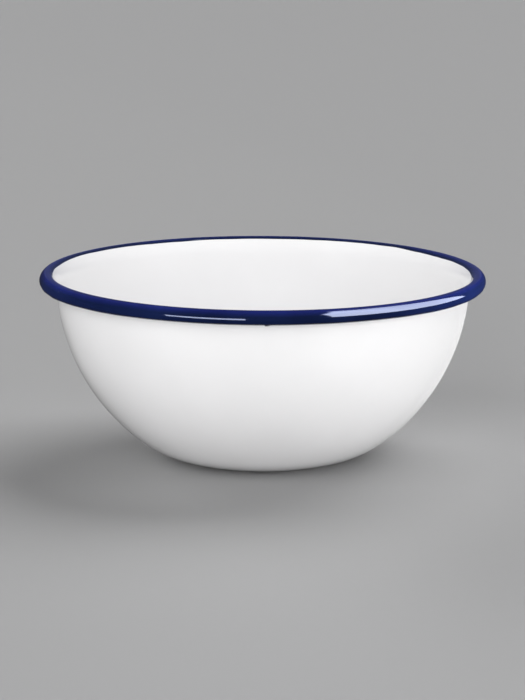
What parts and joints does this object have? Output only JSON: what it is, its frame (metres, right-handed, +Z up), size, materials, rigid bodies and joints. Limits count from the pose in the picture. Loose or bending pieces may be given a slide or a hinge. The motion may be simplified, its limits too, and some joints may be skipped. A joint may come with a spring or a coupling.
{
  "type": "enamel basin bowl",
  "caption": "Round deep bowl of pressed steel, enamelled white inside and out, with a rolled rim under blue enamel; holds food or water.",
  "frame": {"origin": "centre of the flat base, on the surface that the bowl stands on", "axes": "+Z up along the bowl's axis; X and Y are alike, because the bowl is round"},
  "size_m": [0.155, 0.155, 0.065],
  "materials": {
    "pressed_steel": "bare pressed low-carbon steel sheet, hidden under the coats",
    "ground_enamel": "dark blue-black fired ground coat, hidden under the cover coats",
    "white_enamel": "glossy white vitreous enamel with a faint ripple",
    "blue_enamel": "glossy cobalt-blue vitreous enamel, a little uneven at its edges"
  },
  "bodies": {
    "root": {"steel_bowl": "pressed_steel", "ground_coat_inside": "ground_enamel", "ground_coat_outside": "ground_enamel", "white_enamel_inside": "white_enamel", "white_enamel_outside": "white_enamel", "blue_rim_enamel": "blue_enamel"}
  },
  "joints": []
}
